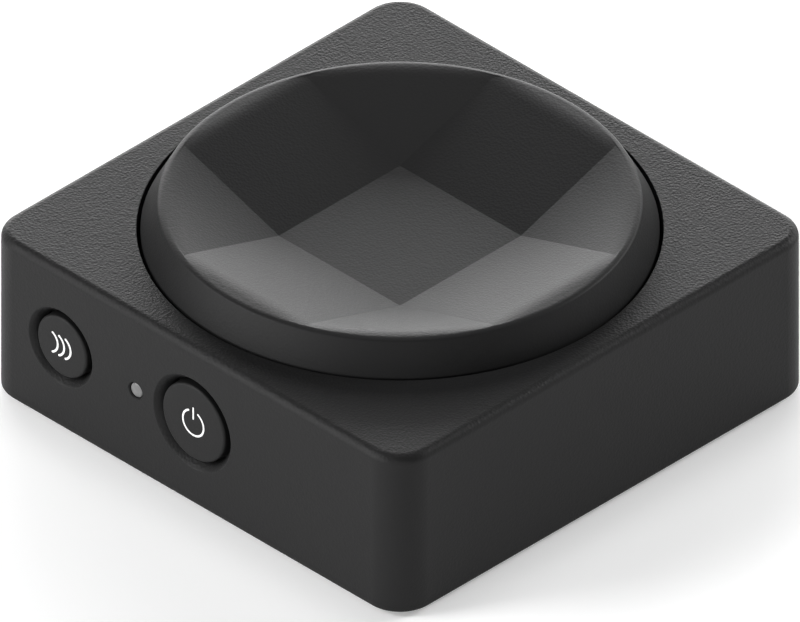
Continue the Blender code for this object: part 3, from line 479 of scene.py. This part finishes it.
def button(name, size, surface):
    """A round cap with a soft edge, its flange behind the wall, and its stem."""
    low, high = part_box(name)
    radius = size["radius"]
    flange = (high[0] - low[0]) / 2
    face = -BUTTON_RECESS
    edge = arc((radius - BUTTON_EDGE, face - BUTTON_EDGE), BUTTON_EDGE, 90, 0, 8)
    back = WALL + FLANGE_GAP
    length = high[1] + HALF
    profile = [(0, face), (radius * 0.5, face), *edge, (radius, -back), (flange, -back)]
    behind = back + FLANGE_THICKNESS
    profile += [(flange, -behind), (STEM_RADIUS, -behind), (STEM_RADIUS, -length), (0, -length)]
    cap = facing_front(turned(name + "_cap", profile), *centre_of(name))
    smooth(cap)
    return dress(cap, surface, name, [name])


def facet_angles():
    """Angles round the dish that include the lines between its arms and its corners."""
    edge = math.asin(FLOOR_HALF / FACET_RADIUS)
    angles = []
    for quarter in range(4):
        middle = quarter * math.pi / 2
        for i in range(ARM_STEPS):
            angles.append(middle - edge + 2 * edge * i / ARM_STEPS)
        for i in range(CORNER_FACET_STEPS):
            angles.append(middle + edge + (math.pi / 2 - 2 * edge) * i / CORNER_FACET_STEPS)
    return angles


def clamp(value, most):
    return max(-most, min(most, value))


def dish_height(x, y):
    """Level floor, four flat arms, four saddle corners between them, and the crest they run into."""
    along = max(abs(x) - FLOOR_HALF, 0.0)
    across = max(abs(y) - FLOOR_HALF, 0.0)
    facet = TOP_Z - FLOOR_DROP + FACET_SLOPE * (along + across) - CORNER_SAG * along * across
    share = max(0.0, min(1.0, 0.5 + (CREST_Z - facet) / (2 * CREST_BLEND)))
    return facet * share + CREST_Z * (1 - share) - CREST_BLEND * share * (1 - share)


def dish(surface):
    """A square floor and its facets out to a round crest, with a turned lip, wall and skirt."""
    angles = facet_angles()
    count = len(angles)
    bm = bmesh.new()
    found = {}

    def vertex(x, y, z):
        key = (round(x / MM, 4), round(y / MM, 4), round(z / MM, 4))
        if key not in found:
            found[key] = bm.verts.new((x, y, z))
        return found[key]

    rings = []
    for step in range(RADIAL_STEPS + 1):
        share = math.sin(math.pi / 2 * step / RADIAL_STEPS)
        ring = []
        for a in angles:
            rim = Vector((FACET_RADIUS * math.cos(a), FACET_RADIUS * math.sin(a)))
            near = Vector((clamp(rim.x, FLOOR_HALF), clamp(rim.y, FLOOR_HALF)))
            x, y = near.lerp(rim, share)
            ring.append(vertex(x, y, dish_height(x, y)))
        rings.append(ring)
    floor = list(dict.fromkeys(rings[0]))
    lip = [
        (LIP_RADIUS - LIP_ROUND * (1 - math.sin(a)), CREST_Z - LIP_DROP * (1 - math.cos(a)))
        for a in (math.radians(90 * i / 10) for i in range(1, 11))
    ]
    skirt = TOP_Z - SKIRT_DROP
    wall = [*lip, (DISH_RADIUS, TOP_Z), (DISH_RADIUS, skirt)]
    wall += [(DISH_RADIUS - DISH_WALL, skirt), (LIP_RADIUS - DISH_WALL, CREST_Z - DISH_WALL)]
    under_radius = FACET_RADIUS - DISH_WALL
    under_half = FLOOR_HALF - DISH_WALL / 4
    wall.append((under_radius, CREST_Z - DISH_WALL))
    for radius, height in wall:
        rings.append([vertex(radius * math.cos(a), radius * math.sin(a), height) for a in angles])
    under = [
        vertex(
            clamp(under_radius * math.cos(a), under_half),
            clamp(under_radius * math.sin(a), under_half),
            dish_low[2],
        )
        for a in angles
    ]
    rings.append(under)
    for first, second in zip(rings, rings[1:]):
        for i in range(count):
            corners = (first[i], first[(i + 1) % count], second[(i + 1) % count], second[i])
            bm.faces.new(list(dict.fromkeys(corners)))
    bm.faces.new(floor)
    bm.faces.new(list(dict.fromkeys(under)))
    bmesh.ops.recalc_face_normals(bm, faces=bm.faces)
    crease_facets(bm, set(floor), rings[:RADIAL_STEPS + 1])
    return dress(add_mesh("dish", bm), surface, "rocker", ["dish_topper"])


def crease_facets(bm, floor, facet_rings):
    """Smooth shading, but for the square floor's outline and the lines between the facets."""
    period = ARM_STEPS + CORNER_FACET_STEPS
    starts = [i for i in range(len(facet_rings[0])) if i % period in (0, ARM_STEPS)]
    lines = [{ring[i] for ring in facet_rings} for i in starts]
    for face in bm.faces:
        face.smooth = True
    for edge in bm.edges:
        ends = set(edge.verts)
        on_line = ends <= floor or any(ends <= line for line in lines)
        turns = edge.calc_face_angle(0.0) > math.radians(SHARP_ANGLE)
        edge.smooth = not (on_line or turns)


def light_window(surface):
    x, z = centre_of("light_pipe")
    depth = light_high[1] - light_low[1]
    face = -LIGHT_RECESS
    dome = [
        (LIGHT_RADIUS * math.sin(a), face - LIGHT_CROWN * (1 - math.cos(a)))
        for a in (math.radians(90 * i / 6) for i in range(7))
    ]
    collar = [(LIGHT_COLLAR_RADIUS, -LIGHT_COLLAR_FRONT), (LIGHT_COLLAR_RADIUS, -LIGHT_COLLAR_BACK)]
    profile = [*dome, (LIGHT_RADIUS, -LIGHT_COLLAR_FRONT), *collar]
    profile += [(LIGHT_RADIUS, -LIGHT_COLLAR_BACK), (LIGHT_RADIUS, -depth), (0, -depth)]
    piece = facing_front(turned("light_window", profile, 48), x, z)
    smooth(piece)
    return dress(piece, surface, "housing", ["light_pipe"])


def stroke(name, points, width, body, surface, place):
    """A thin printed line with round ends, on a button's face."""
    half = width / 2
    sides = {1: [], -1: []}
    for i, point in enumerate(points):
        before = Vector(points[max(i - 1, 0)])
        after = Vector(points[min(i + 1, len(points) - 1)])
        along = (after - before).normalized()
        across = Vector((-along.y, along.x)) * half
        for side in sides:
            sides[side].append(tuple(Vector(point) + across * side))
    heading = Vector(points[-1]) - Vector(points[-2])
    end = math.degrees(math.atan2(heading.y, heading.x))
    heading = Vector(points[0]) - Vector(points[1])
    start = math.degrees(math.atan2(heading.y, heading.x))
    outline = list(sides[-1])
    outline += arc(points[-1], half, end - 90, end + 90, 8)[1:-1]
    outline += reversed(sides[1])
    outline += arc(points[0], half, start - 90, start + 90, 8)[1:-1]
    mark = prism(name, outline, -BUTTON_RECESS - INK_DEPTH, -BUTTON_RECESS + INK_PROUD)
    facing_front(mark, *place)
    return dress(mark, surface, body)


def power_symbol(surface):
    place = centre_of("power_button")
    ring = arc((0, 0), 1.495 * MM, 90 + 27, 450 - 27, 64)
    stroke("power_mark_ring", ring, 0.22 * MM, "power_button", surface, place)
    bar = [(0, 0.53 * MM), (0, 1.85 * MM)]
    stroke("power_mark_bar", bar, 0.2 * MM, "power_button", surface, place)


def pairing_symbol(surface):
    place = centre_of("pairing_button")
    radius = 1.35 * MM
    spread = 63
    sagitta = radius * (1 - math.cos(math.radians(spread)))
    for number in range(3):
        right = (number - 1) * 0.93 * MM + sagitta / 2
        wave = arc((right - radius, 0), radius, -spread, spread, 32)
        stroke(f"pairing_mark_{number + 1}", wave, 0.24 * MM, "pairing_button", surface, place)


def foot_pad(surface):
    """The rubber pad, with its edge rounded over."""
    node = frame["nodes"]["foot_pad"]
    piece = bpy.data.objects.new("rubber_pad", node.data.copy())
    bpy.context.scene.collection.objects.link(piece)
    bm = bmesh.new()
    bm.from_mesh(piece.data)
    bmesh.ops.remove_doubles(bm, verts=bm.verts, dist=0.001 * MM)
    bmesh.ops.dissolve_limit(
        bm, angle_limit=math.radians(0.5), verts=bm.verts, edges=bm.edges,
    )
    bm.to_mesh(piece.data)
    bm.free()
    weighted_bevel(piece, PAD_EDGE_RADIUS, 4, {pad_low[2]: 1.0})
    apply_modifiers(piece)
    smooth(piece)
    return dress(piece, surface, "housing", ["foot_pad"])


def carry_over(surfaces):
    """The CAD pieces whose shape is right get finished materials."""
    slots = {part["node"]: part["material_slot"] for part in frame["record"]["subparts"]}
    for name, node in frame["nodes"].items():
        for i in range(len(node.material_slots)):
            node.material_slots[i].link = "OBJECT"
            node.material_slots[i].material = surfaces[slots[name]]


# Stage, light and camera


def softbox(name, azimuth, elevation, width, power):
    """A rectangular light on a dome round the object, aimed at its middle."""
    data = bpy.data.lights.new(name, "AREA")
    data.shape = "RECTANGLE"
    data.size, data.size_y = width, LIGHT_HEIGHT
    data.energy = power
    around, up = math.radians(azimuth), math.radians(elevation)
    away = Vector((math.cos(around) * math.cos(up), math.sin(around) * math.cos(up), math.sin(up)))
    lamp = bpy.data.objects.new(name, data)
    lamp.location = away * LIGHT_DISTANCE + Vector((0, 0, BASE_Z))
    lamp.rotation_euler = (-away).to_track_quat("-Z", "Y").to_euler()
    bpy.context.scene.collection.objects.link(lamp)


def floor_plane():
    """A white floor that also glows faintly."""
    bm = bmesh.new()
    bmesh.ops.create_grid(bm, x_segments=1, y_segments=1, size=FLOOR_REACH)
    floor = add_mesh("floor", bm)
    made, nodes, _ = new_material("white_floor")
    shader = nodes["Principled BSDF"]
    shader.inputs["Base Color"].default_value = (FLOOR_WHITE, FLOOR_WHITE, FLOOR_WHITE, 1.0)
    shader.inputs["Roughness"].default_value = 0.9
    shader.inputs["Specular IOR Level"].default_value = 0.1
    shader.inputs["Emission Color"].default_value = (1.0, 1.0, 1.0, 1.0)
    shader.inputs["Emission Strength"].default_value = FLOOR_GLOW
    floor.data.materials.append(made)


def surroundings():
    """A studio that is pale low down and dim overhead, and as white as the floor below it."""
    world = bpy.data.worlds.new("studio")
    world.use_nodes = True
    nodes, links = world.node_tree.nodes, world.node_tree.links
    direction = nodes.new("ShaderNodeTexCoord").outputs["Generated"]
    split = nodes.new("ShaderNodeSeparateXYZ")
    links.new(direction, split.inputs["Vector"])
    glow = ramp(nodes, links, split.outputs["Z"], [(0.12, (1.0,) * 3), (0.5, (OVERHEAD,) * 3)])
    links.new(glow.outputs["Color"], nodes["Background"].inputs["Color"])
    strength = nodes.new("ShaderNodeMapRange")
    strength.inputs["From Min"].default_value = -HORIZON_BLEND
    strength.inputs["From Max"].default_value = 0.0
    strength.inputs["To Min"].default_value = 1.0
    strength.inputs["To Max"].default_value = WORLD_STRENGTH
    links.new(split.outputs["Z"], strength.inputs["Value"])
    links.new(strength.outputs["Result"], nodes["Background"].inputs["Strength"])
    bpy.context.scene.world = world


def stage():
    floor_plane()
    surroundings()
    for name, (azimuth, elevation, width, power) in SOFTBOXES.items():
        softbox(name, azimuth, elevation, width, power)
    bpy.context.scene.view_settings.view_transform = "Standard"


def camera():
    data = bpy.data.cameras.new("camera")
    data.type = "ORTHO"
    data.ortho_scale = SCALE_WIDTH
    data.clip_start = CLIP_START
    data.clip_end = CLIP_END
    obj = bpy.data.objects.new("camera", data)
    azimuth = math.radians(AZIMUTH)
    elevation = math.radians(ELEVATION)
    away = Vector((
        math.sin(azimuth) * math.cos(elevation),
        -math.cos(azimuth) * math.cos(elevation),
        math.sin(elevation),
    ))
    aim = Vector((0, 0, TOP_Z - AIM_BELOW_TOP))
    obj.location = aim + away * CAMERA_DISTANCE
    obj.rotation_euler = (-away).to_track_quat("-Z", "Y").to_euler()
    bpy.context.scene.collection.objects.link(obj)
    bpy.context.scene.camera = obj


def inner_surfaces():
    """Two quiet tones, a roughness and a cloud size for each piece that isn't moulded black."""
    looks = {
        "window_plastic": ((0.12, 0.12, 0.12), (0.145, 0.145, 0.145), 0.35, 0.4 * MM),
        "nylon_plastic": ((0.72, 0.7, 0.63), (0.78, 0.76, 0.69), 0.5, 1 * MM),
        "chip_plastic": ((0.025, 0.025, 0.025), (0.035, 0.035, 0.035), 0.5, 0.3 * MM),
        "circuit_board": ((0.012, 0.09, 0.035), (0.02, 0.13, 0.05), 0.4, 2 * MM),
        "battery_wrap": ((0.3, 0.32, 0.34), (0.36, 0.38, 0.4), 0.4, 3 * MM),
        "lead_sleeve": ((0.38, 0.03, 0.02), (0.44, 0.04, 0.03), 0.5, 1 * MM),
        "silicone": ((0.56, 0.56, 0.54), (0.64, 0.64, 0.62), 0.55, 1 * MM),
    }
    return {name: speckled(name, *look) for name, look in looks.items()}


def build():
    black = (0.008, 0.008, 0.0082)
    surfaces = {
        "housing_plastic": moulded("housing_plastic", black, 0.55, grain=0.8),
        "dish_plastic": moulded("dish_plastic", black, 0.55),
        "button_plastic": moulded("button_plastic", black, 0.55, grain=0.12),
        "inner_plastic": moulded("inner_plastic", (0.03, 0.03, 0.031), 0.55, grain=0.15),
        "pad_rubber": rubber("pad_rubber", (0.02, 0.02, 0.02)),
        **inner_surfaces(),
        "screw_steel": metal("screw_steel", (0.5, 0.5, 0.51), 0.36),
        "pin_steel": metal("pin_steel", (0.6, 0.6, 0.6), 0.25),
        "port_steel": metal("port_steel", (0.5, 0.5, 0.51), 0.3),
    }
    white = ink("white_ink")
    carry_over(surfaces)
    housing(surfaces["housing_plastic"])
    dish(surfaces["dish_plastic"])
    for name, size in BUTTONS.items():
        button(name, size, surfaces["button_plastic"])
    power_symbol(white)
    pairing_symbol(white)
    light_window(surfaces["window_plastic"])
    foot_pad(surfaces["pad_rubber"])
    stage()
    camera()


build()
